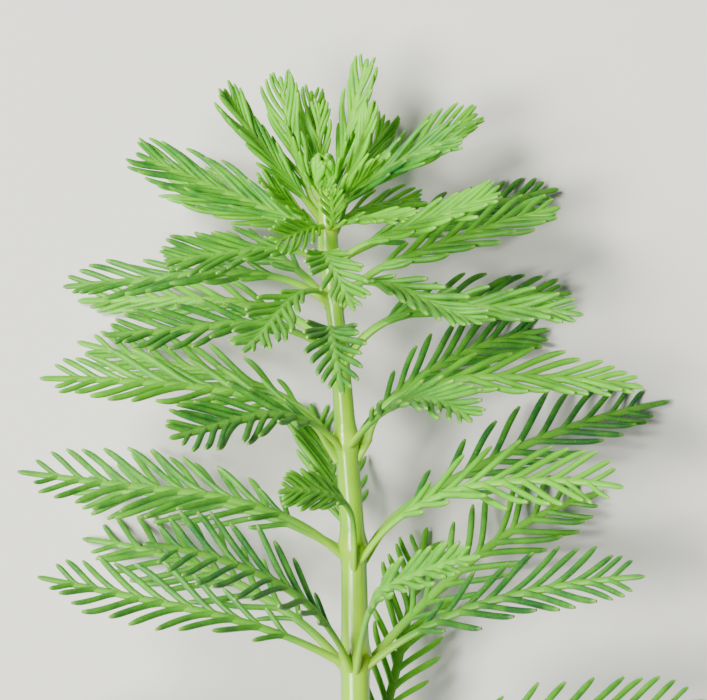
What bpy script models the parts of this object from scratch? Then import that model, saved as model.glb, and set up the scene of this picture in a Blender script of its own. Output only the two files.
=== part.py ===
"""Parrot feather: a leafy shoot cut from the top of the plant, lying on the leaves of its underside.

The stem runs along +Y with its growing tip at the far end, +Z is up, and the origin is under the
middle of the shoot, on the surface that it lies on. Metres. Every leaf is a piece of its own: a bare
stalk that runs on as a keeled midrib, with a row of needle-like leaflets along each side.
"""

import math
from collections import namedtuple

import bmesh
import bpy
from mathutils import Vector

MM = 0.001

# The lie of the shoot
STEM_HEIGHT = 14.0 * MM
MIDDLE_X = 0.4 * MM
MIDDLE_Y = -10.42 * MM
JOINT_GAP = 0.3 * MM

# The stem from its cut end to its tip: place across, place along, radius between the joints
STEM_COURSE = [
    (0.3, -50.5, 1.50),
    (0.25, -42.0, 1.50),
    (0.15, -30.8, 1.42),
    (-0.05, -19.7, 1.25),
    (-0.75, -8.9, 1.10),
    (-1.55, 1.3, 0.90),
    (-2.15, 5.9, 0.92),
    (-2.50, 9.4, 1.00),
    (-2.65, 12.6, 0.92),
    (-2.90, 15.0, 0.66),
    (-3.10, 16.3, 0.42),
]
STEM_POINT_SPACING = 1.5 * MM

# Each joint of the stem that carries leaves: place along the stem, swelling
Whorl = namedtuple("Whorl", "along swelling pairs leaflet spread bare")
WHORLS = {
    "z": Whorl(-42.0, 0.30, 10, 6.4, 44, 0.20),
    "a": Whorl(-30.8, 0.32, 10, 6.4, 44, 0.20),
    "b": Whorl(-19.7, 0.32, 10, 6.4, 44, 0.20),
    "c": Whorl(-9.0, 0.30, 10, 6.0, 36, 0.20),
    "d": Whorl(0.1, 0.24, 9, 5.4, 29, 0.20),
    "e": Whorl(5.6, 0.18, 9, 5.4, 28, 0.20),
    "f": Whorl(9.2, 0.14, 9, 5.2, 29, 0.20),
    "g": Whorl(12.3, 0.10, 9, 6.0, 22, 0.12),
    "h": Whorl(14.2, 0.0, 8, 5.4, 21, 0.12),
    "i": Whorl(15.2, 0.0, 7, 4.8, 20, 0.12),
    "j": Whorl(15.9, 0.0, 5, 4.0, 20, 0.12),
}

# A leaf is drawn by where it points on its way from stem to tip. Headings are degrees in the plan
# view, 0 to the right of the shoot and 90 along it, lifts are degrees up from level, and both are
# given where BENDS says. Roll turns the upper face from the shoot's tip towards the sky. Spread is
# the angle of its leaflets where that isn't its whorl's.
BENDS = (0.0, 0.2, 0.5, 1.0)
Leaf = namedtuple(
    "Leaf", "name whorl length headings lifts roll spread bare leaflet", defaults=(None, None, None)
)
LEAVES = [
    Leaf("leaf_z_left", "z", 33.0, (155, 172, 182, 186), (5, 0, -5), 45),
    Leaf("leaf_z_front_left", "z", 30.0, (205, 205, 200, 195), (55, 45, 30), 20),
    Leaf("leaf_z_front_right", "z", 30.0, (-30, -22, -15, -10), (55, 45, 35), 20),
    Leaf("leaf_z_right", "z", 33.8, (30, 14, 9, 6), (5, -3, -5), 45),
    Leaf("leaf_z_back_right", "z", 27.0, (72, 75, 77, 78), (-25, -28, -15), 60),
    Leaf("leaf_z_back_left", "z", 30.0, (205, 195, 188, 182), (-30, -30, -10), 45),
    Leaf("leaf_a_left", "a", 31.0, (151, 160, 168, 168), (15, 8, 0), 45),
    Leaf("leaf_a_left_back", "a", 31.4, (130, 146, 158, 174), (-25, -25, -15), 45),
    Leaf("leaf_a_front_left", "a", 30.0, (113, 127, 152, 174), (45, 38, 20), 70),
    Leaf("leaf_a_right", "a", 28.8, (38, 28, 14, 4), (15, 10, 10), 45),
    Leaf("leaf_a_right_back", "a", 31.5, (50, 44, 38, 14), (-25, -25, -15), 45),
    Leaf("leaf_a_front_right", "a", 28.0, (82, 76, 30, 12), (45, 55, 48), 75, 28, 0.28, 4.6),
    Leaf("leaf_b_left", "b", 33.0, (138, 160, 174, 172), (15, 5, 0), 45),
    Leaf("leaf_b_left_back", "b", 30.2, (150, 160, 170, 186), (-25, -25, -15), 45),
    Leaf("leaf_b_front_left", "b", 17.5, (88, 100, 160, 190), (32, 58, 44), 95, 32, 0.38, 3.6),
    Leaf("leaf_b_right", "b", 28.6, (54, 32, 8, -10), (25, 20, 10), 45),
    Leaf("leaf_b_right_back", "b", 36.5, (58, 29, 24, 10), (-20, -22, -15), 45, 37),
    Leaf("leaf_b_back", "b", 19.0, (102, 104, 106, 108), (-50, -42, -20), -25),
    Leaf("leaf_c_left", "c", 30.4, (118, 166, 174, 180), (5, 12, 6), 45, 34),
    Leaf("leaf_c_left_back", "c", 30.0, (122, 152, 170, 164), (-20, -22, -15), 45, 28),
    Leaf("leaf_c_front_left", "c", 24.0, (132, 160, 194, 194), (40, 48, 45), 40, 36),
    Leaf("leaf_c_front_right", "c", 24.2, (52, 42, 8, -46), (50, 60, 58), 20, 30),
    Leaf("leaf_c_right", "c", 30.5, (80, 20, 0, -8), (0, 10, 8), 45, 27),
    Leaf("leaf_c_right_back", "c", 26.0, (62, 42, 28, 8), (-30, -32, -15), 45, 30),
    Leaf("leaf_d_front", "d", 24.0, (288, 284, 280, 282), (118, 76, 42), 0, 30),
    Leaf("leaf_d_left", "d", 25.0, (142, 166, 188, 182), (30, 28, 20), 45),
    Leaf("leaf_d_left_back", "d", 30.0, (122, 160, 178, 182), (-28, -32, -10), 60, 24),
    Leaf("leaf_d_right", "d", 25.0, (54, 20, -1, -6), (20, 20, 10), 45, 23),
    Leaf("leaf_d_right_back", "d", 26.0, (52, 24, 6, 3), (-25, -30, -10), 45, 26),
    Leaf("leaf_e_left", "e", 25.8, (148, 172, 187, 184), (10, 5, 0), 45),
    Leaf("leaf_e_left_back", "e", 19.8, (126, 142, 178, 186), (-30, -32, -15), 45, 28, 0.20, 4.4),
    Leaf("leaf_e_front_left", "e", 21.0, (150, 214, 234, 222), (55, 65, 55), 20),
    Leaf("leaf_e_front_right", "e", 21.2, (48, -6, -28, -18), (45, 48, 40), 20),
    Leaf("leaf_e_right_back", "e", 23.4, (52, 22, 20, 14), (-5, -9, -5), 45),
    Leaf("leaf_f_front", "f", 20.4, (312, 306, 298, 296), (100, 72, 42), 0),
    Leaf("leaf_f_left", "f", 17.0, (154, 177, 190, 184), (30, 30, 20), 45),
    Leaf("leaf_f_right", "f", 18.0, (40, 18, 20, 22), (25, 22, 10), 45),
    Leaf("leaf_f_right_back", "f", 26.5, (30, 20, 18, 12), (-34, -32, -10), 45),
    Leaf("leaf_g_left", "g", 19.2, (162, 156, 159, 154), (-5, 6, 8), 60, 21, 0.08, 6.6),
    Leaf("leaf_g_left_back", "g", 19.0, (168, 165, 162, 156), (-58, -20, 0), 50, 22, 0.08, 6.6),
    Leaf("leaf_g_front_left", "g", 9.6, (190, 198, 202, 204), (66, 60, 52), 50, 28),
    Leaf("leaf_g_front", "g", 7.2, (62, 80, 92, 96), (66, 62, 56), 0, 26),
    Leaf("leaf_g_upper_left", "g", 8.4, (136, 138, 140, 142), (30, 30, 25), 50, 34),
    Leaf("leaf_g_front_right", "g", 11.8, (24, 8, 0, -2), (50, 55, 50), 20, 26),
    Leaf("leaf_g_right_back", "g", 10.4, (62, 28, 12, 6), (-30, -30, -20), 40),
    Leaf("leaf_h_left", "h", 14.9, (128, 132, 128, 117), (10, 10, 5), 60, 22),
    Leaf("leaf_h_right", "h", 14.8, (44, 38, 28, 18), (14, 20, 15), 50, 24),
    Leaf("leaf_h_right_back", "h", 17.4, (40, 37, 34, 30), (-15, -12, -10), 50),
    Leaf("leaf_h_front_right", "h", 11.0, (44, 42, 40, 38), (66, 48, 36), 20),
    Leaf("leaf_h_back", "h", 15.0, (44, 52, 60, 60), (-60, -42, -20), 0),
    Leaf("leaf_i_left", "i", 12.7, (112, 108, 104, 98), (-8, 0, 0), 70),
    Leaf("leaf_i_back", "i", 13.0, (106, 101, 94, 88), (-45, -30, -12), 0),
    Leaf("leaf_i_top", "i", 15.0, (78, 74, 75, 77), (-20, -12, 0), 0),
    Leaf("leaf_i_right", "i", 10.4, (54, 62, 72, 82), (15, 15, 10), 60),
    Leaf("leaf_i_front_right", "i", 5.2, (30, 32, 36, 40), (55, 50, 40), 20),
    Leaf("leaf_j_left", "j", 8.0, (124, 118, 112, 108), (30, 20, 15), 40),
    Leaf("leaf_j_right", "j", 7.5, (58, 66, 70, 66), (40, 34, 26), 40),
    Leaf("leaf_j_back", "j", 9.0, (92, 94, 92, 90), (-16, -4, 4), 0),
]

# Proportions that every leaf shares
LAST_PAIR = 0.89
PAIR_ROOM = 1.3
MIDRIB_HALF_WIDTH = 0.40 * MM
LEAFLET_LENGTHS = (0.55, 0.95, 1.0, 0.95, 0.75, 0.40)
LEAFLET_SHARE = 0.385
LEAFLET_BASE = 0.80 * MM
LEAFLET_RISE = 6
COURSE_STEPS = 60

BUD_LENGTH = 4.6 * MM
BUD_RADIUS = 1.4 * MM
BUD_LEAN = 42.0


def clear_scene():
    for old in list(bpy.data.objects):
        bpy.data.objects.remove(old, do_unlink=True)


def plant_material(name, colour, roughness):
    material = bpy.data.materials.new(name)
    material.use_nodes = True
    shader = material.node_tree.nodes["Principled BSDF"]
    shader.inputs["Base Color"].default_value = (*colour, 1.0)
    shader.inputs["Roughness"].default_value = roughness
    shader.inputs["Metallic"].default_value = 0.0
    return material


def between(values, place, places=None):
    """The value at a place from 0 to 1, from values that stand evenly spaced or at given places."""
    last = len(values) - 1
    places = places or [index / last for index in range(last + 1)]
    for index in range(last):
        if place <= places[index + 1]:
            break
    share = (place - places[index]) / (places[index + 1] - places[index])
    return values[index] + (values[index + 1] - values[index]) * min(max(share, 0.0), 1.0)


def stem_at(along):
    """Centre and radius of the stem, without the swelling of its joints, at a place along it."""
    for (x0, y0, r0), (x1, y1, r1) in zip(STEM_COURSE, STEM_COURSE[1:]):
        if along <= y1 * MM:
            break
    share = (along / MM - y0) / (y1 - y0)
    centre = Vector((x0 + (x1 - x0) * share, along / MM, 0.0)) * MM
    centre.x -= MIDDLE_X
    centre.y -= MIDDLE_Y
    centre.z = STEM_HEIGHT
    return centre, (r0 + (r1 - r0) * share) * MM


def swelling_at(along):
    """How far the joints of the stem stand out at a place along it."""
    return sum(
        whorl.swelling * MM * math.exp(-(((along / MM - whorl.along) / 1.1) ** 2))
        for whorl in WHORLS.values()
    )


def pointing(heading, lift):
    heading = math.radians(heading)
    lift = math.radians(lift)
    level = math.cos(lift)
    return Vector((level * math.cos(heading), level * math.sin(heading), math.sin(lift)))


def leaf_course(leaf, whorl):
    """Places, directions and upper-face normals from the stem to the leaf's tip."""
    start = pointing(leaf.headings[0], leaf.lifts[0])
    outward = Vector((start.x, 0.0, start.z)).normalized()
    around = Vector((0.0, 1.0, 0.0)).cross(outward)
    side = 1.0 if outward.x >= 0.0 else -1.0
    centre, radius = stem_at(whorl.along * MM)
    clearance = JOINT_GAP + MIDRIB_HALF_WIDTH * 1.2 * abs(start.y)
    place = centre + outward * (radius + whorl.swelling * MM + clearance)
    step = leaf.length * MM / COURSE_STEPS
    roll = math.radians(leaf.roll)
    course = []
    for index in range(COURSE_STEPS + 1):
        share = index / COURSE_STEPS
        forward = pointing(between(leaf.headings, share, BENDS), between(leaf.lifts, share))
        resting = (MIDRIB_HALF_WIDTH * 1.5 - place.z) / (4.0 * step)
        forward.z = max(forward.z, resting)
        forward.normalize()
        upper = forward.cross(around).normalized()
        upper = upper * math.cos(roll) + forward.cross(upper) * side * math.sin(roll)
        course.append((place.copy(), forward, upper))
        place += forward * step
    return course


def course_at(course, share):
    spot = min(max(share, 0.0), 1.0) * (len(course) - 1)
    first = min(int(spot), len(course) - 2)
    rest = spot - first
    return [a.lerp(b, rest) for a, b in zip(course[first], course[first + 1])]


def midrib_section(course, share, half_width):
    """Three corners of the keeled midrib: one at each edge of its upper face, one below."""
    place, forward, upper = course_at(course, share)
    across = upper.cross(forward)
    return (
        place + across * half_width + upper * half_width * 0.5,
        place - across * half_width + upper * half_width * 0.5,
        place - upper * half_width,
    )


def leaflet_tip(course, share, side, length, spread):
    """Where a leaflet ends: forward and outward from the midrib, a little raised, never sunk."""
    place, forward, upper = course_at(course, share)
    across = upper.cross(forward) * side
    turn = math.radians(spread)
    rise = math.radians(LEAFLET_RISE)
    level = forward * math.cos(turn) + across * math.sin(turn)
    tip = place + (level * math.cos(rise) + upper * math.sin(rise)) * length
    tip.z = max(tip.z, 0.0)
    return tip


def leaf_mesh(leaf):
    """A keeled midrib lofted along the leaf's course, each leaflet drawn out of its side."""
    whorl = WHORLS[leaf.whorl]
    course = leaf_course(leaf, whorl)
    size = min(1.0, leaf.length / 24.0) ** 0.5
    longest = min(leaf.leaflet or whorl.leaflet, LEAFLET_SHARE * leaf.length) * MM
    half_base = 0.5 * LEAFLET_BASE * size / (leaf.length * MM)
    bare = leaf.bare or whorl.bare
    count = min(whorl.pairs, round(leaf.length * (1.0 - bare) / PAIR_ROOM))
    pairs = []
    for pair in range(count):
        place = pair / (count - 1)
        pairs.append((place, bare + (LAST_PAIR - bare) * place))
    stations = [0.0]
    for place, share in pairs:
        stations += [share - half_base, share + half_base]

    mesh = bmesh.new()
    rings = []
    for share in stations:
        half_width = MIDRIB_HALF_WIDTH * size * (1.15 - 0.6 * share)
        rings.append([mesh.verts.new(corner) for corner in midrib_section(course, share, half_width)])
    mesh.faces.new(rings[0])
    sides = []
    for near, far in zip(rings, rings[1:]):
        walls = []
        for corner in range(3):
            after = (corner + 1) % 3
            walls.append(mesh.faces.new((near[corner], far[corner], far[after], near[after])))
        sides.append(walls)
    tip = mesh.verts.new(course[-1][0])
    for corner in range(3):
        mesh.faces.new((rings[-1][corner], tip, rings[-1][(corner + 1) % 3]))

    for (place, share), walls in zip(pairs, sides[1::2]):
        length = longest * between(LEAFLET_LENGTHS, place)
        for wall, side in ((walls[2], 1.0), (walls[1], -1.0)):
            drawn = bmesh.ops.extrude_discrete_faces(mesh, faces=[wall])["faces"][0]
            end = leaflet_tip(course, share, side, length, leaf.spread or whorl.spread)
            bmesh.ops.pointmerge(mesh, verts=drawn.verts[:], merge_co=end)
    bmesh.ops.recalc_face_normals(mesh, faces=mesh.faces[:])
    data = bpy.data.meshes.new(leaf.name)
    mesh.to_mesh(data)
    mesh.free()
    return data


def add_object(name, data, material, collection):
    made = bpy.data.objects.new(name, data)
    made.data.materials.append(material)
    collection.objects.link(made)
    return made


def add_stem(material, collection):
    """A tube that thins towards the tip and swells at each joint."""
    first = STEM_COURSE[0][1] * MM
    last = STEM_COURSE[-1][1] * MM
    count = round((last - first) / STEM_POINT_SPACING) + 1
    curve = bpy.data.curves.new("stem", "CURVE")
    curve.dimensions = "3D"
    curve.bevel_depth = MM
    curve.bevel_resolution = 2
    curve.use_fill_caps = True
    curve.render_resolution_u = 0
    spline = curve.splines.new("POLY")
    spline.points.add(count - 1)
    for index, point in enumerate(spline.points):
        along = first + (last - first) * index / (count - 1)
        centre, radius = stem_at(along)
        point.co = (*centre, 1.0)
        point.radius = (radius + swelling_at(along)) / MM
    return add_object("stem", curve, material, collection)


def add_bud(material, collection):
    """The closed tuft of the youngest leaves: an egg shape whose ridges are folded leaves."""
    centre, radius = stem_at(STEM_COURSE[-1][1] * MM)
    mesh = bmesh.new()
    bmesh.ops.create_uvsphere(mesh, u_segments=12, v_segments=8, radius=1.0)
    for vert in mesh.verts:
        ridge = 1.0 + 0.18 * math.cos(4.0 * math.atan2(vert.co.y, vert.co.x))
        vert.co = Vector((
            vert.co.x * BUD_RADIUS * ridge,
            vert.co.z * BUD_LENGTH * 0.5,
            -vert.co.y * BUD_RADIUS * ridge,
        ))
    data = bpy.data.meshes.new("bud")
    mesh.to_mesh(data)
    mesh.free()
    bud = add_object("bud", data, material, collection)
    bud.rotation_euler.x = math.radians(BUD_LEAN)
    bud.location = centre + pointing(90.0, BUD_LEAN) * (BUD_LENGTH * 0.5 + JOINT_GAP)
    return bud


clear_scene()
shoot = bpy.data.collections.new("parrot feather")
bpy.context.scene.collection.children.link(shoot)
stem_skin = plant_material("stem skin", (0.48, 0.68, 0.10), 0.35)
leaf_skin = plant_material("leaf skin", (0.16, 0.42, 0.07), 0.50)
young_skin = plant_material("young leaf skin", (0.36, 0.62, 0.12), 0.50)
add_stem(stem_skin, shoot)
for leaf in LEAVES:
    skin = young_skin if leaf.whorl in "ghij" else leaf_skin
    add_object(leaf.name, leaf_mesh(leaf), skin, shoot)
add_bud(young_skin, shoot)
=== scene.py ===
"""Parrot feather: the finished look of a leafy shoot that lies on its lower leaves.

The stem runs along +Y with its growing tip at the far end and +Z is up, as in the solid model.
Metres, but the tables of the stem, its joints and the leaves are in millimetres. Headings are degrees
in the plan view, 0 to the right of the shoot and 90 along it, and lifts are degrees up from level.
"""

import math
import random
from collections import namedtuple

import bmesh
import bpy
from mathutils import Matrix, Vector


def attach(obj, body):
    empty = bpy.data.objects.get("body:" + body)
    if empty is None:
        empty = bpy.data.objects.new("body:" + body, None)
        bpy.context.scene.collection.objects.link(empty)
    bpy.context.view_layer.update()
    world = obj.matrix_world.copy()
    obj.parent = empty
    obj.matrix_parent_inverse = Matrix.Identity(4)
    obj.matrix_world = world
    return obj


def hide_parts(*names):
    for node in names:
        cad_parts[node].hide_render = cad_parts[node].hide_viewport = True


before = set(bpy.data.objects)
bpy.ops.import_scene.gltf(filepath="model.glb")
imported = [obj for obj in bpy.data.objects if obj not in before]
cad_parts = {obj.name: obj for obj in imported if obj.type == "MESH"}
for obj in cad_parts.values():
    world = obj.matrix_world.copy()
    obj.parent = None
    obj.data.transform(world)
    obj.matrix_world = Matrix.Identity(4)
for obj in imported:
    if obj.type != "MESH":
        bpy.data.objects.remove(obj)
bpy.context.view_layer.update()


# The camera. It looks straight down on the lying shoot from 60 cm, which is how the photograph shows
# it upright, and the photograph's lower edge cuts the stem.
MM = 0.001
STEM_HEIGHT = 14.0 * MM
MIDDLE_X = 0.4 * MM
MIDDLE_Y = -10.42 * MM
CAMERA_DISTANCE = 600.0 * MM
NEAREST_SEEN = 10.0 * MM
VIEW_WIDTH = 70.7 * MM
SENSOR_WIDTH = 36.0

lens = bpy.data.cameras.new("camera")
lens.sensor_width = SENSOR_WIDTH
lens.lens = SENSOR_WIDTH * CAMERA_DISTANCE / VIEW_WIDTH
lens.clip_start = NEAREST_SEEN
camera = bpy.data.objects.new("camera", lens)
camera.location = (-MIDDLE_X, -MIDDLE_Y, STEM_HEIGHT + CAMERA_DISTANCE)
bpy.context.scene.collection.objects.link(camera)
bpy.context.scene.camera = camera


# The stem: one round green shoot, hollow celled and smooth, with a thin glossy skin. It swells into a
# paler ring at each joint, where the leaves grow out, thins towards the tip, and was cut with a knife at
# its lower end. Its flanks and underside are painted a deeper green, a painted shade for the side away
# from the light.
JOINT_REACH = 1.1
STEM_SIDES = 36
STEM_RING_SPACING = 0.35 * MM
CUT_ROUNDING = 0.12 * MM
STEM_RIBS = 5.0
STEM_RIB_HEIGHT = 0.012
STEM_RIB_TWIST = 0.21
# How fast the painted shade on the stem deepens from its top down its flanks
SUNLIT_FALLOFF = 0.7
LOW_STEM_COLOUR = (0.25, 0.54, 0.001, 1.0)
HIGH_STEM_COLOUR = (0.16, 0.47, 0.001, 1.0)
LOW_COLOUR_ENDS = -15.0 * MM
HIGH_COLOUR_STARTS = 22.0 * MM
STREAK_COLOUR = (0.14, 0.38, 0.01, 1.0)
STREAK_STRETCH = (1.0, 0.06, 1.0)
CLOUD_COLOUR = (0.34, 0.58, 0.003, 1.0)
JOINT_COLOUR = (0.36, 0.56, 0.01, 1.0)
# The deeper green of the painted shade on the stem's flanks and underside
STEM_PAINTED_SHADE_COLOUR = (0.07, 0.32, 0.002, 1.0)
PITH_COLOUR = (0.66, 0.74, 0.42, 1.0)
LIGHT_DEPTHS = (0.7, 1.0, 0.25)
GRAIN_DEPTH = 0.03 * MM
# The course from the cut end to the tip: sideways, along, radius
STEM_COURSE = [
    (0.3, -50.5, 1.50),
    (0.25, -42.0, 1.50),
    (0.15, -30.8, 1.42),
    (-0.05, -19.7, 1.25),
    (-0.75, -8.9, 1.10),
    (-1.55, 1.3, 0.90),
    (-2.15, 5.9, 0.92),
    (-2.50, 9.4, 1.00),
    (-2.65, 12.6, 0.92),
    (-2.90, 15.0, 0.66),
    (-3.10, 16.3, 0.42),
]
# Each joint: its place along the stem, and how far it stands out
JOINTS = {
    "z": (-42.0, 0.30),
    "a": (-30.8, 0.32),
    "b": (-19.7, 0.32),
    "c": (-9.0, 0.30),
    "d": (0.1, 0.24),
    "e": (5.6, 0.18),
    "f": (9.2, 0.14),
    "g": (12.3, 0.10),
    "h": (14.2, 0.0),
    "i": (15.2, 0.0),
    "j": (15.9, 0.0),
}
# The flat cut's rings from its middle out, in shares of the radius, and those past the end of the
# course at the tip, each with its distance from there
CUT_RINGS = (0.0, 0.55, 0.86)
TIP_RINGS = ((0.12, 0.8), (0.2, 0.0))


def stem_at(along):
    """Centre and radius of the stem between its joints, at a place in millimetres along it."""
    last = len(STEM_COURSE) - 1
    for index in range(last):
        if along <= STEM_COURSE[index + 1][1]:
            break
    before, here, after, beyond = (
        STEM_COURSE[min(max(spot, 0), last)] for spot in range(index - 1, index + 3)
    )
    share = (along - here[1]) / (after[1] - here[1])
    smooth = []
    for axis in (0, 2):
        run = after[1] - here[1]
        lean_here = (after[axis] - before[axis]) / (after[1] - before[1]) * run
        lean_after = (beyond[axis] - here[axis]) / (beyond[1] - here[1]) * run
        smooth.append(
            here[axis] * (2 * share**3 - 3 * share**2 + 1)
            + lean_here * (share**3 - 2 * share**2 + share)
            + after[axis] * (3 * share**2 - 2 * share**3)
            + lean_after * (share**3 - share**2)
        )
    centre = Vector((smooth[0] * MM - MIDDLE_X, along * MM - MIDDLE_Y, STEM_HEIGHT))
    return centre, smooth[1] * MM


def joint_swelling(along):
    """How far the joints stand out, and how near the place is to a joint, from 0 to 1."""
    near = [
        (swelling, math.exp(-(((along - place) / JOINT_REACH) ** 2)))
        for place, swelling in JOINTS.values()
    ]
    return sum(swelling * part for swelling, part in near) * MM, max(part for _, part in near)


def stem_mesh():
    """A tube of rings, closed by the flat cut at its foot and drawn together at its tip."""
    first = STEM_COURSE[0][1]
    last = STEM_COURSE[-1][1]
    count = round((last - first) * MM / STEM_RING_SPACING)
    rings = [(first, fullness) for fullness in CUT_RINGS]
    rings.append((first + CUT_ROUNDING / MM, 1.0))
    rings += [(first + (last - first) * step / count, 1.0) for step in range(1, count)]
    rings += [(last + beyond, fullness) for beyond, fullness in TIP_RINGS]
    mesh = bmesh.new()
    joint_layer = mesh.verts.layers.float.new("joint")
    cut_layer = mesh.verts.layers.float.new("cut")
    stem_painted_shade_layer = mesh.verts.layers.float.new("stem_painted_shade")
    loops = []
    for along, fullness in rings:
        centre, radius = stem_at(along)
        swelling, nearness = joint_swelling(along)
        corners = []
        for side in range(STEM_SIDES if fullness else 1):
            turn = 2.0 * math.pi * side / STEM_SIDES
            ripple = 1.0 + STEM_RIB_HEIGHT * math.sin(STEM_RIBS * turn + along * STEM_RIB_TWIST)
            reach = (radius + swelling) * ripple * fullness
            across = centre.x + reach * math.cos(turn)
            up = centre.z - reach * math.sin(turn)
            corner = mesh.verts.new((across, centre.y, up))
            corner[joint_layer] = nearness
            corner[cut_layer] = 1.0 if along == first else 0.0
            # Painted shade: 0 along the stem's top, rising to 1 down its flanks and on its underside
            corner[stem_painted_shade_layer] = 1.0 - max(-math.sin(turn), 0.0) ** SUNLIT_FALLOFF
            corners.append(corner)
        loops.append(corners)
    for near, far in zip(loops, loops[1:]):
        for side in range(STEM_SIDES):
            after = (side + 1) % STEM_SIDES
            if len(near) == 1:
                mesh.faces.new((near[0], far[side], far[after]))
            elif len(far) == 1:
                mesh.faces.new((near[side], far[0], near[after]))
            else:
                mesh.faces.new((near[side], far[side], far[after], near[after]))
    bmesh.ops.recalc_face_normals(mesh, faces=mesh.faces[:])
    data = bpy.data.meshes.new("stem_skin")
    mesh.to_mesh(data)
    mesh.free()
    data.shade_smooth()
    return data


def add_node(tree, kind, inputs=(), **settings):
    """Adds a node with its settings and its inputs, which come in their order or by name. An input that
    is another node's output is linked, and any other is set."""
    made = tree.nodes.new(kind)
    for name, value in settings.items():
        setattr(made, name, value)
    sockets = [socket for socket in made.inputs if socket.enabled]
    if isinstance(inputs, dict):
        by_name = {socket.name: socket for socket in sockets}
        sockets = [by_name[name] for name in inputs]
        inputs = inputs.values()
    for socket, source in zip(sockets, inputs):
        if isinstance(source, bpy.types.NodeSocket):
            tree.links.new(source, socket)
        else:
            socket.default_value = source
    return made


def first_output(made):
    return next(socket for socket in made.outputs if socket.enabled)


def surface_value(tree, name):
    """A value that the mesh itself carries at each of its points."""
    return add_node(tree, "ShaderNodeAttribute", attribute_name=name).outputs["Fac"]


def noise(tree, where, scale, detail):
    return add_node(tree, "ShaderNodeTexNoise", (where, scale, detail)).outputs["Fac"]


def stretch(tree, value, low, high, to_low=0.0, to_high=1.0):
    """Maps a range of a value to another range, and cuts it off at the ends."""
    return first_output(add_node(tree, "ShaderNodeMapRange", (value, low, high, to_low, to_high)))


def colour_mix(tree, share, one, other):
    return first_output(add_node(tree, "ShaderNodeMix", (share, one, other), data_type="RGBA"))


def tint(tree, base, colour, value, low, high, most):
    """Lays a colour over a base: none where a value is low, and most of it where the value is high."""
    return colour_mix(tree, stretch(tree, value, low, high, 0.0, most), base, colour)


def living_skin(name, roughness, gloss, glow, glow_reach):
    """A plant's skin: returns its material, its node tree and its shader, with light let in a little."""
    skin = bpy.data.materials.new(name)
    skin.use_nodes = True
    tree = skin.node_tree
    shader = tree.nodes["Principled BSDF"]
    shader.inputs["Roughness"].default_value = roughness
    shader.inputs["Specular IOR Level"].default_value = gloss
    shader.inputs["Subsurface Weight"].default_value = glow
    shader.inputs["Subsurface Radius"].default_value = LIGHT_DEPTHS
    shader.inputs["Subsurface Scale"].default_value = glow_reach
    return skin, tree, shader


def finish_skin(tree, shader, colour, grain, strength):
    """Gives the skin its colour, and raises it a little where the grain is high."""
    tree.links.new(colour, shader.inputs["Base Color"])
    inputs = {"Strength": strength, "Distance": GRAIN_DEPTH, "Height": grain}
    bump = add_node(tree, "ShaderNodeBump", inputs)
    tree.links.new(bump.outputs[0], shader.inputs["Normal"])


def stem_material():
    """Yellow-green skin with fine streaks, soft clouds, paler joints, painted shade on its flanks and a
    pale cut.
    """
    skin, tree, shader = living_skin(
        "stem skin", roughness=0.50, gloss=0.10, glow=0.15, glow_reach=0.8 * MM
    )
    where = tree.nodes.new("ShaderNodeTexCoord").outputs["Object"]
    drawn_out = add_node(tree, "ShaderNodeMapping", {"Vector": where, "Scale": STREAK_STRETCH})
    streaks = noise(tree, drawn_out.outputs[0], scale=2600.0, detail=3.0)
    clouds = noise(tree, where, scale=240.0, detail=2.0)
    along = add_node(tree, "ShaderNodeSeparateXYZ", (where,)).outputs["Y"]
    height = stretch(tree, along, LOW_COLOUR_ENDS, HIGH_COLOUR_STARTS)
    base = colour_mix(tree, height, LOW_STEM_COLOUR, HIGH_STEM_COLOUR)
    streaked = tint(tree, base, STREAK_COLOUR, streaks, low=0.35, high=0.75, most=0.55)
    cloudy = tint(tree, streaked, CLOUD_COLOUR, clouds, low=0.35, high=0.7, most=0.35)
    joint = surface_value(tree, "joint")
    ringed = tint(tree, cloudy, JOINT_COLOUR, joint, low=0.25, high=1.0, most=0.75)
    # Painted shade: the stem's flanks and underside are turned a deeper green
    stem_painted_shade = surface_value(tree, "stem_painted_shade")
    stem_shade_painted = tint(tree, ringed, STEM_PAINTED_SHADE_COLOUR, stem_painted_shade, low=0.1, high=0.9, most=0.8)
    colour = colour_mix(tree, surface_value(tree, "cut"), stem_shade_painted, PITH_COLOUR)
    finish_skin(tree, shader, colour, grain=streaks, strength=0.25)
    shader.inputs["Coat Weight"].default_value = 1.0
    shader.inputs["Coat Roughness"].default_value = 0.22
    return skin


stem = bpy.data.objects.new("stem_skin", stem_mesh())
stem.data.materials.append(stem_material())
bpy.context.scene.collection.objects.link(stem)
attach(stem, "root")
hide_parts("stem")


# The grown leaves: soft feathers of green tissue in rings of four to six round the stem. Each is one
# piece, a bare stalk that runs on as a midrib, with a row of round, blunt leaflets along each side
# whose feet run down into the midrib. The lowest leaves of the lower rings carry the shoot.
BENDS = (0.0, 0.2, 0.5, 1.0)
COURSE_STEPS = 60
JOINT_GAP = 0.3 * MM
FOOT_DEPTH = 0.6 * MM
LEANING_FOOT = 1.1
STEEPEST_FOOT = 1.6
RESTING_STALK = 1.4
SETTLING_STEPS = 4.0
FULL_LEAF = 24.0
STALK_RADIUS = 0.44 * MM
MIDRIB_SIDES = 12
MIDRIB_SECTION = (0.82, 1.22)
WIDEST_MIDRIB = 1.6
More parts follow.
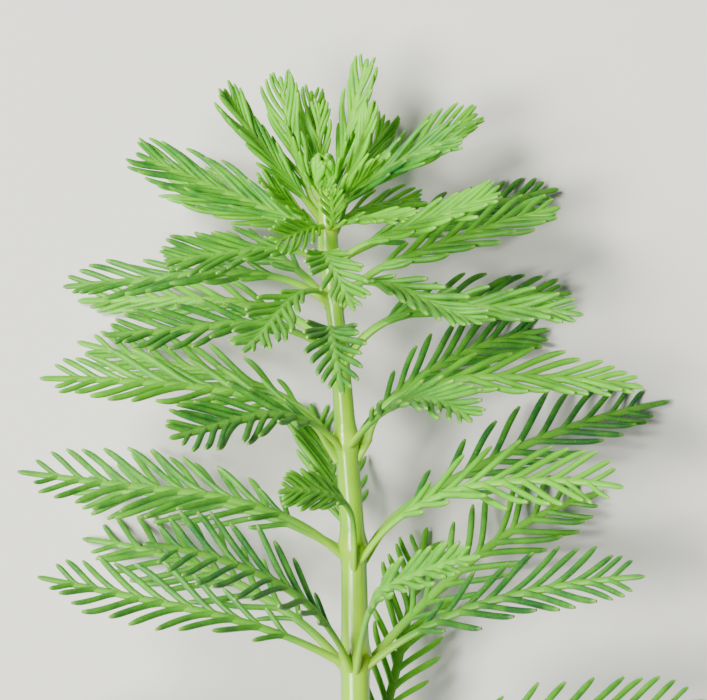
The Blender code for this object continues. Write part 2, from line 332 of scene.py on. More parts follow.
# Profiles from foot to tip: a place from 0 to 1, and the share of the full width or length there
MIDRIB_WIDTHS = (
    (0.0, 0.60),
    (0.04, 0.56),
    (0.16, 0.52),
    (0.3, 0.58),
    (0.6, 0.54),
    (0.86, 0.44),
    (0.975, 0.38),
    (1.0, 0.16),
)
LEAFLET_LENGTHS = ((0.0, 0.55), (0.2, 0.95), (0.4, 1.0), (0.6, 0.95), (0.8, 0.75), (1.0, 0.42))
LEAFLET_WIDTHS = ((0.0, 0.98), (0.15, 0.80), (0.5, 0.84), (0.85, 0.85), (0.96, 0.72), (1.0, 0.40))
LEAFLET_RADIUS = 0.33 * MM
LEAFLET_SHARE = 0.385
LEAFLET_RISE = 6.0
LEAFLET_SIDES = 8
LEAFLET_POINTS = 12
POINT_CROWDING = 1.5
WIDEST_LEAFLET = 1.2
THINNING = 0.3
RESTING_LEAFLET = 1.02
FOOT_SWEEP = 0.18
FOOT_SWEEP_FALLOFF = 4.0
LAST_PAIR = 0.89
PAIR_ROOM = 1.3
PAIR_OFFSET = 0.08
TIP_CROWDING = 0.22
# How far leaflets differ from each other by chance
PLACE_SCATTER = 0.10
SPREAD_SCATTER = 4.0
RISE_SCATTER = 6.0
LENGTH_SCATTER = (0.94, 1.06)
BOW_SCATTER = (0.0, 0.12)
THICKNESS_SCATTER = (0.92, 1.06)
SEEDS_PER_LEAF = 7.0
MOTTLING = 0.28
# Of each leaf in a ring: its pairs of leaflets, a leaflet's full length, the angle at which leaflets
# stand off the midrib, and the share of the leaf that is bare stalk
Ring = namedtuple("Ring", "pairs leaflet spread bare")
# Headings and lifts run from foot to tip, roll turns the leaf about its own line, and the painted light
# goes from 0, painted shade, to 1, painted sunlight, over the whole leaf. The last three values, where
# a leaf has them, stand in for its ring's
Leaf = namedtuple(
    "Leaf", "name whorl length headings lifts roll tone spread bare leaflet", defaults=(None, None, None)
)
GROWN_RINGS = {
    "z": Ring(10, 6.4, 44, 0.20),
    "a": Ring(10, 6.4, 44, 0.20),
    "b": Ring(10, 6.4, 44, 0.20),
    "c": Ring(10, 6.0, 36, 0.20),
    "d": Ring(9, 5.4, 29, 0.20),
    "e": Ring(9, 5.4, 28, 0.20),
    "f": Ring(9, 5.2, 29, 0.20),
}
GROWN_LEAVES = [
    Leaf("leaf_z_left", "z", 33.0, (155, 172, 182, 186), (5, 0, -5), 45, 0.5),
    Leaf("leaf_z_front_left", "z", 30.0, (205, 205, 200, 195), (55, 45, 30), 20, 0.4),
    Leaf("leaf_z_front_right", "z", 30.0, (-30, -22, -15, -10), (55, 45, 35), 20, 0.4),
    Leaf("leaf_z_right", "z", 33.8, (30, 14, 9, 6), (5, -3, -5), 45, 0.5),
    Leaf("leaf_z_back_right", "z", 27.0, (72, 75, 77, 78), (-25, -28, -15), 60, 1.0),
    Leaf("leaf_z_back_left", "z", 30.0, (205, 195, 188, 182), (-30, -30, -10), 45, 0.2),
    Leaf("leaf_a_left", "a", 31.0, (151, 160, 168, 168), (15, 8, 0), 45, 0.35),
    Leaf("leaf_a_left_back", "a", 31.4, (130, 146, 158, 174), (-25, -25, -15), 45, 0.5),
    Leaf("leaf_a_front_left", "a", 30.0, (113, 127, 152, 174), (45, 38, 20), 70, 0.12),
    Leaf("leaf_a_right", "a", 28.8, (38, 28, 14, 4), (15, 10, 10), 45, 0.15),
    Leaf("leaf_a_right_back", "a", 31.5, (50, 44, 38, 14), (-25, -25, -15), 45, 0.5),
    Leaf("leaf_a_front_right", "a", 28.0, (82, 76, 30, 12), (45, 55, 48), 75, 0.7, 28, 0.28, 4.6),
    Leaf("leaf_b_left", "b", 33.0, (138, 160, 174, 172), (15, 5, 0), 45, 0.35),
    Leaf("leaf_b_left_back", "b", 30.2, (150, 160, 170, 186), (-25, -25, -15), 45, 0.5),
    Leaf("leaf_b_front_left", "b", 17.5, (88, 100, 160, 190), (32, 58, 44), 95, 0.8, 32, 0.38, 3.6),
    Leaf("leaf_b_right", "b", 28.6, (54, 32, 8, -10), (25, 20, 10), 45, 1.0),
    Leaf("leaf_b_right_back", "b", 36.5, (58, 29, 24, 10), (-20, -22, -15), 45, 0.15, 37),
    Leaf("leaf_b_back", "b", 19.0, (102, 104, 106, 108), (-50, -42, -20), -25, 0.9),
    Leaf("leaf_c_left", "c", 30.4, (118, 166, 174, 180), (5, 12, 6), 45, 0.7, 34),
    Leaf("leaf_c_left_back", "c", 30.0, (122, 152, 170, 164), (-20, -22, -15), 45, 0.7, 28),
    Leaf("leaf_c_front_left", "c", 24.0, (132, 160, 194, 194), (40, 48, 45), 40, 0.25, 36),
    Leaf("leaf_c_front_right", "c", 24.2, (52, 42, 8, -46), (50, 60, 58), 20, 0.5, 30),
    Leaf("leaf_c_right", "c", 30.5, (80, 20, 0, -8), (0, 10, 8), 45, 0.85, 27),
    Leaf("leaf_c_right_back", "c", 26.0, (62, 42, 28, 8), (-30, -32, -15), 45, 0.3, 30),
    Leaf("leaf_d_front", "d", 24.0, (288, 284, 280, 282), (118, 76, 42), 0, 0.3, 30),
    Leaf("leaf_d_left", "d", 25.0, (142, 166, 188, 182), (30, 28, 20), 45, 0.3),
    Leaf("leaf_d_left_back", "d", 30.0, (122, 160, 178, 182), (-28, -32, -10), 60, 0.9, 24),
    Leaf("leaf_d_right", "d", 25.0, (54, 20, -1, -6), (20, 20, 10), 45, 0.6, 23),
    Leaf("leaf_d_right_back", "d", 26.0, (52, 24, 6, 3), (-25, -30, -10), 45, 0.3, 26),
    Leaf("leaf_e_left", "e", 25.8, (148, 172, 187, 184), (10, 5, 0), 45, 0.35),
    Leaf("leaf_e_left_back", "e", 19.8, (126, 142, 178, 186), (-30, -32, -15), 45, 0.5, 28, 0.20, 4.4),
    Leaf("leaf_e_front_left", "e", 21.0, (150, 214, 234, 222), (55, 65, 55), 20, 0.7),
    Leaf("leaf_e_front_right", "e", 21.2, (48, -6, -28, -18), (45, 48, 40), 20, 0.55),
    Leaf("leaf_e_right_back", "e", 23.4, (52, 22, 20, 14), (-5, -9, -5), 45, 0.6),
    Leaf("leaf_f_front", "f", 20.4, (312, 306, 298, 296), (100, 72, 42), 0, 0.8),
    Leaf("leaf_f_left", "f", 17.0, (154, 177, 190, 184), (30, 30, 20), 45, 0.5),
    Leaf("leaf_f_right", "f", 18.0, (40, 18, 20, 22), (25, 22, 10), 45, 0.9),
    Leaf("leaf_f_right_back", "f", 26.5, (30, 20, 18, 12), (-34, -32, -10), 45, 0.3),
]


def between(values, place, places=None):
    """The value at a place from 0 to 1, from values that stand evenly spaced or at given places."""
    last = len(values) - 1
    places = places or [index / last for index in range(last + 1)]
    for index in range(last):
        if place <= places[index + 1]:
            break
    share = (place - places[index]) / (places[index + 1] - places[index])
    return values[index] + (values[index + 1] - values[index]) * min(max(share, 0.0), 1.0)


def pointing(heading, lift):
    heading = math.radians(heading)
    lift = math.radians(lift)
    level = math.cos(lift)
    return Vector((level * math.cos(heading), level * math.sin(heading), math.sin(lift)))


def course_line(name, places, faces):
    """A line through places, as an object whose points know which way the leaf's upper face looks."""
    data = bpy.data.meshes.new(name)
    data.from_pydata(places, [(index, index + 1) for index in range(len(places) - 1)], [])
    face_of_leaf = data.attributes.new("upper", "FLOAT_VECTOR", "POINT")
    face_of_leaf.data.foreach_set("vector", [part for face in faces for part in face])
    line = bpy.data.objects.new(name, data)
    bpy.context.scene.collection.objects.link(line)
    return line


def leaf_course(leaf):
    """The leaf's line from inside the stem to its tip, and the length of the line's foot."""
    start = pointing(leaf.headings[0], leaf.lifts[0])
    outward = Vector((start.x, 0.0, start.z)).normalized()
    around = Vector((0.0, 1.0, 0.0)).cross(outward)
    side = 1.0 if outward.x >= 0.0 else -1.0
    along, swelling = JOINTS[leaf.whorl]
    centre, radius = stem_at(along)
    clearance = JOINT_GAP + STALK_RADIUS * LEANING_FOOT * abs(start.y)
    place = centre + outward * (radius + swelling * MM + clearance)
    depth = clearance + FOOT_DEPTH
    slant = min(max(start.y / math.hypot(start.x, start.z), -STEEPEST_FOOT), STEEPEST_FOOT)
    root = (outward + Vector((0.0, slant, 0.0))) * depth
    foot = [place - root, place - root * 0.5]
    step = leaf.length * MM / COURSE_STEPS
    roll = math.radians(leaf.roll)
    places = []
    faces = []
    for index in range(COURSE_STEPS + 1):
        share = index / COURSE_STEPS
        forward = pointing(between(leaf.headings, share, BENDS), between(leaf.lifts, share))
        resting = (STALK_RADIUS * RESTING_STALK - place.z) / (SETTLING_STEPS * step)
        forward.z = max(forward.z, resting)
        forward.normalize()
        upper = forward.cross(around).normalized()
        upper = upper * math.cos(roll) + forward.cross(upper) * side * math.sin(roll)
        places.append(place.copy())
        faces.append(upper)
        place += forward * step
    line = course_line(leaf.name + "_skin", foot + places, [faces[0], faces[0]] + faces)
    return line, (foot[1] - foot[0]).length + (places[0] - foot[1]).length


def feather_leaf_tree():
    """Grows a leaf along a line: a tapering midrib and two rows of leaflets that point forward."""
    tree = bpy.data.node_groups.new("feather leaf", "GeometryNodeTree")
    sockets = (
        ("Line", "NodeSocketGeometry"),
        ("Pairs", "NodeSocketInt"),
        ("Foot length", "NodeSocketFloat"),
        ("Leaf length", "NodeSocketFloat"),
        ("Leaflet length", "NodeSocketFloat"),
        ("Leaflet radius", "NodeSocketFloat"),
        ("Stalk radius", "NodeSocketFloat"),
        ("Bare stalk", "NodeSocketFloat"),
        ("Last pair", "NodeSocketFloat"),
        ("Spread", "NodeSocketFloat"),
        ("Rise", "NodeSocketFloat"),
        ("Tone", "NodeSocketFloat"),
        ("Seed", "NodeSocketInt"),
        ("Skin", "NodeSocketMaterial"),
    )
    for name, kind in sockets:
        tree.interface.new_socket(name, in_out="INPUT", socket_type=kind)
    tree.interface.new_socket("Leaf", in_out="OUTPUT", socket_type="NodeSocketGeometry")
    given = tree.nodes.new("NodeGroupInput").outputs

    def node(kind, inputs=(), **settings):
        return first_output(add_node(tree, kind, inputs, **settings))

    def maths(operation, *values):
        return node("ShaderNodeMath", values, operation=operation)

    def product(first, *others):
        for other in others:
            first = maths("MULTIPLY", first, other)
        return first

    def vector(operation, *values):
        return node("ShaderNodeVectorMath", values, operation=operation)

    def scaled(direction, amount):
        return node("ShaderNodeVectorMath", {"Vector": direction, "Scale": amount}, operation="SCALE")

    def profile(value, points):
        """A smooth curve through points, read at a value."""
        made = add_node(tree, "ShaderNodeFloatCurve", {"Factor": 1.0, "Value": value})
        curve = made.mapping.curves[0]
        for _ in range(len(points) - 2):
            curve.points.new(0.5, 0.5)
        for point, (across, up) in zip(curve.points, points):
            point.location = (across, up)
            point.handle_type = "AUTO_CLAMPED"
        made.mapping.update()
        return made.outputs[0]

    def chance(low, high, number):
        """A value drawn anew for each leaflet, with a number of its own for each use."""
        seed = maths("ADD", maths("MULTIPLY", given["Seed"], SEEDS_PER_LEAF), float(number))
        return node("FunctionNodeRandomValue", {"Min": low, "Max": high, "Seed": seed}, data_type="FLOAT")

    def keep(geometry, name, value, kind="FLOAT"):
        inputs = {"Geometry": geometry, "Name": name, "Value": value}
        return node("GeometryNodeStoreNamedAttribute", inputs, data_type=kind, domain="POINT")

    def kept(name, kind="FLOAT"):
        return node("GeometryNodeInputNamedAttribute", {"Name": name}, data_type=kind)

    def tube(line, sides, height, width):
        """A ring drawn along a line, as wide as the line's own radius."""
        ring = node("GeometryNodeCurvePrimitiveCircle", {"Resolution": sides, "Radius": 1.0}, mode="RADIUS")
        section = node("GeometryNodeTransform", {"Geometry": ring, "Scale": (height, width, 1.0)})
        radius = node("GeometryNodeInputRadius")
        inputs = {"Curve": line, "Profile Curve": section, "Scale": radius, "Fill Caps": True}
        return node("GeometryNodeCurveToMesh", inputs)

    def midrib(line):
        """The midrib, widest at its foot, with a blunt tip that is the last leaflet."""
        spline = tree.nodes.new("GeometryNodeSplineParameter").outputs
        past_foot = maths("SUBTRACT", spline["Length"], given["Foot length"])
        share = maths("DIVIDE", past_foot, given["Leaf length"])
        width = product(profile(share, MIDRIB_WIDTHS), WIDEST_MIDRIB, given["Stalk radius"])
        rib = node("GeometryNodeSetCurveRadius", {"Curve": line, "Radius": width})
        rib = keep(rib, "rib", stretch(tree, share, 0.88, 1.0, to_low=1.0, to_high=0.0))
        rib = keep(rib, "tip", stretch(tree, share, 0.985, 1.0))
        rib = keep(rib, "stalk", stretch(tree, share, 0.0, 0.16, to_low=1.0, to_high=0.0))
        return tube(rib, MIDRIB_SIDES, *MIDRIB_SECTION)

    def leaflet_feet(line):
        """A point at each leaflet's foot, in pairs that stand closer together towards the tip. It knows
        the leaflet's direction, length, bow and thickness."""
        points = node("GeometryNodePoints", {"Count": maths("MULTIPLY", given["Pairs"], 2.0)})
        number = node("GeometryNodeInputIndex")
        side = maths("SUBTRACT", maths("MULTIPLY", maths("MODULO", number, 2.0), 2.0), 1.0)
        pair = maths("FLOOR", maths("DIVIDE", number, 2.0))
        last = maths("SUBTRACT", given["Pairs"], 1.0)
        even = maths("DIVIDE", maths("ADD", pair, maths("MULTIPLY", side, PAIR_OFFSET)), last)
        shift = maths("DIVIDE", chance(-PLACE_SCATTER, PLACE_SCATTER, 1), last)
        crowding = product(even, maths("SUBTRACT", 1.0, even), TIP_CROWDING)
        place = maths("ADD", maths("ADD", even, shift), crowding)
        reach = maths("SUBTRACT", given["Last pair"], given["Bare stalk"])
        share = maths("ADD", given["Bare stalk"], maths("MULTIPLY", reach, place))
        distance = maths("ADD", given["Foot length"], maths("MULTIPLY", share, given["Leaf length"]))
        sample = add_node(
            tree,
            "GeometryNodeSampleCurve",
            {"Curves": line, "Value": kept("upper", "FLOAT_VECTOR"), "Length": distance},
            data_type="FLOAT_VECTOR",
            mode="LENGTH",
            use_all_curves=False,
        )
        upper = first_output(sample)
        tangent = sample.outputs["Tangent"]
        across = scaled(vector("NORMALIZE", vector("CROSS_PRODUCT", upper, tangent)), side)
        angle = maths("RADIANS", maths("ADD", given["Spread"], chance(-SPREAD_SCATTER, SPREAD_SCATTER, 2)))
        rise = maths("RADIANS", maths("ADD", given["Rise"], chance(-RISE_SCATTER, RISE_SCATTER, 3)))
        level = vector("ADD", scaled(tangent, maths("COSINE", angle)), scaled(across, maths("SINE", angle)))
        lifted = vector("ADD", scaled(level, maths("COSINE", rise)), scaled(upper, maths("SINE", rise)))
        fullness = profile(even, LEAFLET_LENGTHS)
        length = product(fullness, given["Leaflet length"], chance(*LENGTH_SCATTER, 4))
        thickness = product(chance(*THICKNESS_SCATTER, 6), maths("POWER", fullness, THINNING))
        feet = keep(points, "foot", sample.outputs["Position"], "FLOAT_VECTOR")
        feet = keep(feet, "ahead", tangent, "FLOAT_VECTOR")
        feet = keep(feet, "outward", across, "FLOAT_VECTOR")
        feet = keep(feet, "direction", lifted, "FLOAT_VECTOR")
        feet = keep(feet, "length", length)
        feet = keep(feet, "bow", chance(*BOW_SCATTER, 5))
        return keep(feet, "thick", thickness)

    def leaflets(feet):
        """The leaflets: from each foot a short line that leaves the midrib in a curve, and a ring drawn
        along it. None of them goes below the floor."""
        stick = node("GeometryNodeCurvePrimitiveLine")
        stick = node("GeometryNodeResampleCurve", {"Curve": stick, "Count": LEAFLET_POINTS})
        placed = node("GeometryNodeInstanceOnPoints", {"Points": feet, "Instance": stick})
        sticks = node("GeometryNodeRealizeInstances", {"Geometry": placed})
        part = tree.nodes.new("GeometryNodeSplineParameter").outputs["Factor"]
        step = maths("SUBTRACT", 1.0, maths("POWER", maths("SUBTRACT", 1.0, part), POINT_CROWDING))
        remaining = maths("SUBTRACT", 1.0, step)
        size = kept("length")
        away = scaled(kept("direction", "FLOAT_VECTOR"), maths("MULTIPLY", step, size))
        sweep = product(size, -FOOT_SWEEP, maths("POWER", remaining, FOOT_SWEEP_FALLOFF))
        swept = scaled(kept("ahead", "FLOAT_VECTOR"), sweep)
        # At the middle of the leaflet this product is a quarter, so it is taken four times
        middle = maths("MULTIPLY", step, remaining)
        bow = product(size, kept("bow"), middle, 4.0)
        bowed = scaled(kept("outward", "FLOAT_VECTOR"), bow)
        straight = vector("ADD", kept("foot", "FLOAT_VECTOR"), away)
        where = vector("ADD", straight, vector("ADD", swept, bowed))
        parts = add_node(tree, "ShaderNodeSeparateXYZ", (where,)).outputs
        above = maths("MAXIMUM", parts["Z"], maths("MULTIPLY", given["Leaflet radius"], RESTING_LEAFLET))
        resting = node("ShaderNodeCombineXYZ", (parts["X"], parts["Y"], above))
        own_radius = maths("MULTIPLY", given["Leaflet radius"], kept("thick"))
        radius = product(profile(step, LEAFLET_WIDTHS), WIDEST_LEAFLET, own_radius)
        moved = node("GeometryNodeSetPosition", {"Geometry": sticks, "Position": resting})
        line = node("GeometryNodeSetCurveRadius", {"Curve": moved, "Radius": radius})
        line = keep(line, "rib", stretch(tree, step, 0.0, 0.3, to_low=0.8, to_high=0.0))
        line = keep(line, "tip", stretch(tree, step, 0.96, 1.0))
        line = keep(line, "stalk", 0.0)
        return tube(line, LEAFLET_SIDES, 1.0, 1.0)

    bare_line = node("GeometryNodeMeshToCurve", {"Mesh": given["Line"]})
    upper = kept("upper", "FLOAT_VECTOR")
    line = node("GeometryNodeSetCurveNormal", {"Curve": bare_line, "Normal": upper}, mode="FREE")
    joined = tree.nodes.new("GeometryNodeJoinGeometry")
    tree.links.new(leaflets(leaflet_feet(line)), joined.inputs[0])
    tree.links.new(midrib(line), joined.inputs[0])
    # Painted light: the whole leaf carries its share between the painted shade and the painted sunlight
    leaf_light_painted = keep(joined.outputs[0], "tone", given["Tone"])
    smooth = node("GeometryNodeSetShadeSmooth", {"Geometry": leaf_light_painted})
    whole = node("GeometryNodeRealizeInstances", {"Geometry": smooth})
    painted = node("GeometryNodeSetMaterial", {"Geometry": whole, "Material": given["Skin"]})
    result = tree.nodes.new("NodeGroupOutput")
    tree.links.new(painted, result.inputs["Leaf"])
    return tree


FEATHER_LEAF = feather_leaf_tree()
WORKING_VALUES = ("upper", "foot", "ahead", "outward", "direction", "length", "bow", "thick")


def feather(line, values):
    """Grows a leaf along a line's object, and returns it as a plain mesh."""
    grower = line.modifiers.new("feather leaf", "NODES")
    grower.node_group = FEATHER_LEAF
    for socket in FEATHER_LEAF.interface.items_tree:
        if socket.name in values:
            grower[socket.identifier] = values[socket.name]
    evaluated = line.evaluated_get(bpy.context.evaluated_depsgraph_get())
    grown = bpy.data.meshes.new_from_object(evaluated)
    for name in WORKING_VALUES:
        grown.attributes.remove(grown.attributes[name])
    line.modifiers.remove(grower)
    return grown


def add_leaf(leaf, ring, radius, skin, number):
    """Grows one leaf along its course and puts it in the place of its solid. A short leaf is slimmer."""
    course, foot_length = leaf_course(leaf)
    stoutness = min(1.0, leaf.length / FULL_LEAF) ** 0.5
    bare = leaf.bare or ring.bare
    values = {
        "Pairs": min(ring.pairs, round(leaf.length * (1.0 - bare) / PAIR_ROOM)),
        "Foot length": foot_length,
        "Leaf length": leaf.length * MM,
        "Leaflet length": min(leaf.leaflet or ring.leaflet, LEAFLET_SHARE * leaf.length) * MM,
        "Leaflet radius": radius * stoutness**0.5,
        "Stalk radius": STALK_RADIUS * stoutness,
        "Bare stalk": bare,
        "Last pair": LAST_PAIR,
        "Spread": float(leaf.spread or ring.spread),
        "Rise": LEAFLET_RISE,
        "Tone": leaf.tone,
        "Seed": number,
        "Skin": skin,
    }
    course.data = feather(course, values)
    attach(course, "root")
    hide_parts(leaf.name)


def leaf_material(name, painted_shade_green, painted_sunlit_green, midrib, foot, tip):
    """Leaf tissue: mottled green, painted between a shade copy and a sunlit copy by each leaf's painted
    light, paler along the midrib and at the tips, with fine pale specks of frost and painted glints.
    """
    skin, tree, shader = living_skin(name, roughness=0.45, gloss=0.30, glow=0.08, glow_reach=0.5 * MM)
    where = tree.nodes.new("ShaderNodeTexCoord").outputs["Object"]
    clouds = stretch(tree, noise(tree, where, scale=420.0, detail=3.0), 0.3, 0.7, -MOTTLING, MOTTLING)
    # The leaf's painted light, with random mottling over it, mixes the painted shade green with the painted
    # sunlit green
    inputs = (surface_value(tree, "tone"), clouds)
    tone = add_node(tree, "ShaderNodeMath", inputs, operation="ADD", use_clamp=True).outputs[0]
    base = colour_mix(tree, tone, painted_shade_green, painted_sunlit_green)
    ribbed = tint(tree, base, midrib, surface_value(tree, "rib"), low=0.0, high=1.0, most=0.6)
    footed = tint(tree, ribbed, foot, surface_value(tree, "stalk"), low=0.0, high=1.0, most=0.8)
    # Fine pale specks: partly the leaf's frosty skin and partly painted glints of light
    frost_and_glint_specks = noise(tree, where, scale=5200.0, detail=2.0)
    frost_and_glint_speckled = tint(tree, footed, tip, frost_and_glint_specks, low=0.60, high=0.74, most=0.28)
    tipped = tint(tree, frost_and_glint_speckled, tip, surface_value(tree, "tip"), low=0.3, high=1.0, most=0.32)
    grain = noise(tree, where, scale=2600.0, detail=2.0)
    finish_skin(tree, shader, tipped, grain, strength=0.35)
    return skin


# The grown leaves' greens: the first two are the painted shade and the painted sunlight of one leaf green
grown_skin = leaf_material(
    "leaf skin",
    painted_shade_green=(0.016, 0.125, 0.020, 1.0),
    painted_sunlit_green=(0.11, 0.43, 0.012, 1.0),
    midrib=(0.16, 0.48, 0.03, 1.0),
    foot=(0.30, 0.58, 0.015, 1.0),
    tip=(0.42, 0.68, 0.12, 1.0),
)
for number, leaf in enumerate(GROWN_LEAVES):
    add_leaf(leaf, GROWN_RINGS[leaf.whorl], LEAFLET_RADIUS, grown_skin, number)


# The young leaves of the crown: the same kind of leaf, shorter and yellower, with blunt leaflets that
# still lie almost along the midrib.
YOUNG_LEAFLET_RADIUS = 0.29 * MM
YOUNG_RINGS = {
    "g": Ring(11, 6.0, 22, 0.10),
    "h": Ring(10, 5.4, 21, 0.10),
    "i": Ring(8, 4.8, 20, 0.10),
    "j": Ring(6, 4.0, 20, 0.10),
}
YOUNG_LEAVES = [
    Leaf("leaf_g_left", "g", 19.2, (162, 156, 159, 154), (-5, 6, 8), 60, 0.25, 21, 0.08, 6.6),
    Leaf("leaf_g_left_back", "g", 19.0, (168, 165, 162, 156), (-58, -20, 0), 50, 0.8, 22, 0.08, 6.6),
    Leaf("leaf_g_front_left", "g", 9.6, (190, 198, 202, 204), (66, 60, 52), 50, 0.8, 28),
    Leaf("leaf_g_front", "g", 7.2, (62, 80, 92, 96), (66, 62, 56), 0, 0.9, 26),
    Leaf("leaf_g_upper_left", "g", 8.4, (136, 138, 140, 142), (30, 30, 25), 50, 0.6, 34),
    Leaf("leaf_g_front_right", "g", 11.8, (24, 8, 0, -2), (50, 55, 50), 20, 0.7, 26),
    Leaf("leaf_g_right_back", "g", 10.4, (62, 28, 12, 6), (-30, -30, -20), 40, 0.6),
    Leaf("leaf_h_left", "h", 14.9, (128, 132, 128, 117), (10, 10, 5), 60, 0.5, 22),
    Leaf("leaf_h_right", "h", 14.8, (44, 38, 28, 18), (14, 20, 15), 50, 0.25, 24),
    Leaf("leaf_h_right_back", "h", 17.4, (40, 37, 34, 30), (-15, -12, -10), 50, 0.6),
    Leaf("leaf_h_front_right", "h", 11.0, (44, 42, 40, 38), (66, 48, 36), 20, 0.9),
    Leaf("leaf_h_back", "h", 15.0, (44, 52, 60, 60), (-60, -42, -20), 0, 0.6),
    Leaf("leaf_i_left", "i", 12.7, (112, 108, 104, 98), (-8, 0, 0), 70, 0.7),
    Leaf("leaf_i_back", "i", 13.0, (106, 101, 94, 88), (-45, -30, -12), 0, 0.75),
    Leaf("leaf_i_top", "i", 15.0, (78, 74, 75, 77), (-20, -12, 0), 0, 0.8),
    Leaf("leaf_i_right", "i", 10.4, (54, 62, 72, 82), (15, 15, 10), 60, 0.9),
    Leaf("leaf_i_front_right", "i", 5.2, (30, 32, 36, 40), (55, 50, 40), 20, 1.0),
    Leaf("leaf_j_left", "j", 8.0, (124, 118, 112, 108), (30, 20, 15), 40, 0.7),
    Leaf("leaf_j_right", "j", 7.5, (58, 66, 70, 66), (40, 34, 26), 40, 0.8),
    Leaf("leaf_j_back", "j", 9.0, (92, 94, 92, 90), (-16, -4, 4), 0, 0.9),
]
# The young leaves' greens: the first two are the painted shade and the painted sunlight of one leaf green
young_skin = leaf_material(
    "young leaf skin",
    painted_shade_green=(0.022, 0.18, 0.022, 1.0),
    painted_sunlit_green=(0.14, 0.50, 0.006, 1.0),
    midrib=(0.17, 0.48, 0.012, 1.0),
    foot=(0.28, 0.56, 0.010, 1.0),
    tip=(0.36, 0.70, 0.07, 1.0),
)
for number, leaf in enumerate(YOUNG_LEAVES, len(GROWN_LEAVES)):
    add_leaf(leaf, YOUNG_RINGS[leaf.whorl], YOUNG_LEAFLET_RADIUS, young_skin, number)


# The bud at the tip: the youngest leaves, still folded together round the growing point, stubby and
# bright, with only a few blunt leaflets each. They are grown as the others are and joined in one.
BUD_LEAVES = 9
BUD_LENGTH = 4.6 * MM
BUD_LEAN = 42.0
BUD_STEPS = 12
BUD_DEPTH = 0.2 * MM
BUD_BELLY = 1.0 * MM
BUD_FOOT = 0.35
BUD_BULGE = 0.75
BUD_CLOSING = 0.95
OUTER_HEIGHT = 0.92
INNER_DROP = 0.22
INNER_NARROWING = 0.35
TURN_SCATTER = 0.02
HEIGHT_SCATTER = (-0.08, 0.06)
COURSE_SEED = 40
LEAFLET_SEED = 100
BUD_RING = Ring(3, 1.7, 20, 0.25)
BUD_LEAFLET_RADIUS = 0.34 * MM
BUD_LEAFLET_RISE = 12.0
BUD_STALK_RADIUS = 0.30 * MM
BUD_LAST_PAIR = 0.9


def bud_course(number):
    """A short line that rises from the bud's foot, bulges outward and closes over its middle. Every
    second one is an inner leaf. Returns the line and its height."""
    chance = random.Random(COURSE_SEED + number)
    inner = number % 2
    turn = 2.0 * math.pi * (number / BUD_LEAVES + chance.uniform(-TURN_SCATTER, TURN_SCATTER))
    height = BUD_LENGTH * (OUTER_HEIGHT - INNER_DROP * inner + chance.uniform(*HEIGHT_SCATTER))
    belly = (1.0 - INNER_NARROWING * inner) * BUD_BELLY
    centre, _ = stem_at(STEM_COURSE[-1][1])
    axis = pointing(90.0, BUD_LEAN)
    outward = Vector((math.cos(turn), 0.0, 0.0)) + axis.cross(Vector((1.0, 0.0, 0.0))) * math.sin(turn)
    places = []
    for step in range(BUD_STEPS + 1):
        share = step / BUD_STEPS
        width = belly * (BUD_FOOT + math.sin(math.pi * (share * BUD_CLOSING)) * BUD_BULGE)
        places.append(centre + outward * width + axis * (height * share - BUD_DEPTH))
    return course_line("bud_leaf", places, [-outward] * len(places)), height


def bud_mesh(skin):
    """The bud's leaves, grown one after the other and joined in one mesh."""
    whole = bmesh.new()
    for number in range(BUD_LEAVES):
        line, height = bud_course(number)
        values = {
            "Pairs": BUD_RING.pairs,
            "Foot length": 0.0,
            "Leaf length": height,
            "Leaflet length": BUD_RING.leaflet * MM,
            "Leaflet radius": BUD_LEAFLET_RADIUS,
            "Stalk radius": BUD_STALK_RADIUS,
            "Bare stalk": BUD_RING.bare,
            "Last pair": BUD_LAST_PAIR,
            "Spread": float(BUD_RING.spread),
            "Rise": BUD_LEAFLET_RISE,
            # The bud is painted wholly in the sunlit green
            "Tone": 1.0,
            "Seed": LEAFLET_SEED + number,
            "Skin": skin,
        }
        grown = feather(line, values)
        whole.from_mesh(grown)
        bpy.data.meshes.remove(grown)
        bpy.data.objects.remove(line)
    data = bpy.data.meshes.new("bud_skin")
    whole.to_mesh(data)
    whole.free()
    data.materials.append(skin)
    data.shade_smooth()
    return data


bud = bpy.data.objects.new("bud_skin", bud_mesh(young_skin))
bpy.context.scene.collection.objects.link(bud)
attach(bud, "root")
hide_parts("bud")


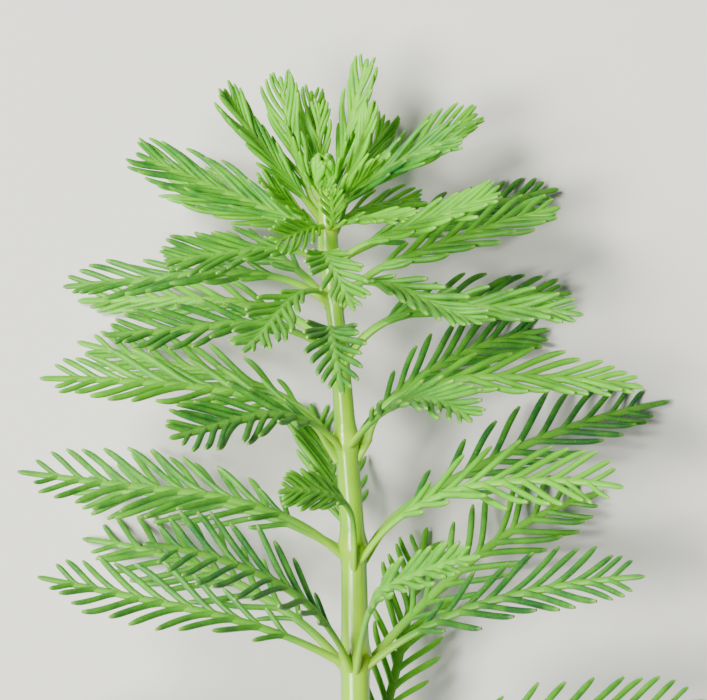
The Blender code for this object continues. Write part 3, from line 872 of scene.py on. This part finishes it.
# The floor: one plain pale sheet that the shoot lies on, matt, so that nothing glares beside it. It is
# part of the picture and not of the shoot.
FLOOR_SIZE = 4.0
FLOOR_COLOUR = (0.66, 0.66, 0.64, 1.0)
FLOOR_ROUGHNESS = 0.9

floor_mesh = bmesh.new()
bmesh.ops.create_grid(floor_mesh, x_segments=1, y_segments=1, size=FLOOR_SIZE * 0.5)
floor_data = bpy.data.meshes.new("floor")
floor_mesh.to_mesh(floor_data)
floor_mesh.free()
floor_paint = bpy.data.materials.new("floor paint")
floor_paint.use_nodes = True
floor_shader = floor_paint.node_tree.nodes["Principled BSDF"]
floor_shader.inputs["Base Color"].default_value = FLOOR_COLOUR
floor_shader.inputs["Roughness"].default_value = FLOOR_ROUGHNESS
floor_data.materials.append(floor_paint)
floor = bpy.data.objects.new("floor", floor_data)
bpy.context.scene.collection.objects.link(floor)


# The light: two soft lamps on the left, one past the tip and one past the cut end, which gives the
# lower stem its long glint, a weak wide one on the right against them, and a pale room.
ROOM_COLOUR = (0.85, 0.90, 0.95, 1.0)
ROOM_STRENGTH = 0.10


def add_lamp(name, place, size, power, colour):
    """A square lamp of a size in metres and a power in watts that faces the stem."""
    light = bpy.data.lights.new(name, "AREA")
    light.size = size
    light.energy = power
    light.color = colour
    lamp = bpy.data.objects.new(name, light)
    direction = Vector(place) - Vector((0.0, 0.0, STEM_HEIGHT))
    lamp.matrix_world = Matrix.Translation(place) @ direction.to_track_quat("Z", "Y").to_matrix().to_4x4()
    bpy.context.scene.collection.objects.link(lamp)


add_lamp("key", place=(-0.45, 0.30, 0.80), size=0.26, power=16.0, colour=(1.0, 0.97, 0.88))
add_lamp("side", place=(-0.46, -0.12, 0.82), size=0.34, power=15.5, colour=(1.0, 0.98, 0.93))
add_lamp("fill", place=(0.6, -0.3, 0.7), size=0.8, power=0.5, colour=(0.92, 0.96, 1.0))
room = bpy.data.worlds.new("room")
room.use_nodes = True
room.node_tree.nodes["Background"].inputs["Color"].default_value = ROOM_COLOUR
room.node_tree.nodes["Background"].inputs["Strength"].default_value = ROOM_STRENGTH
bpy.context.scene.world = room
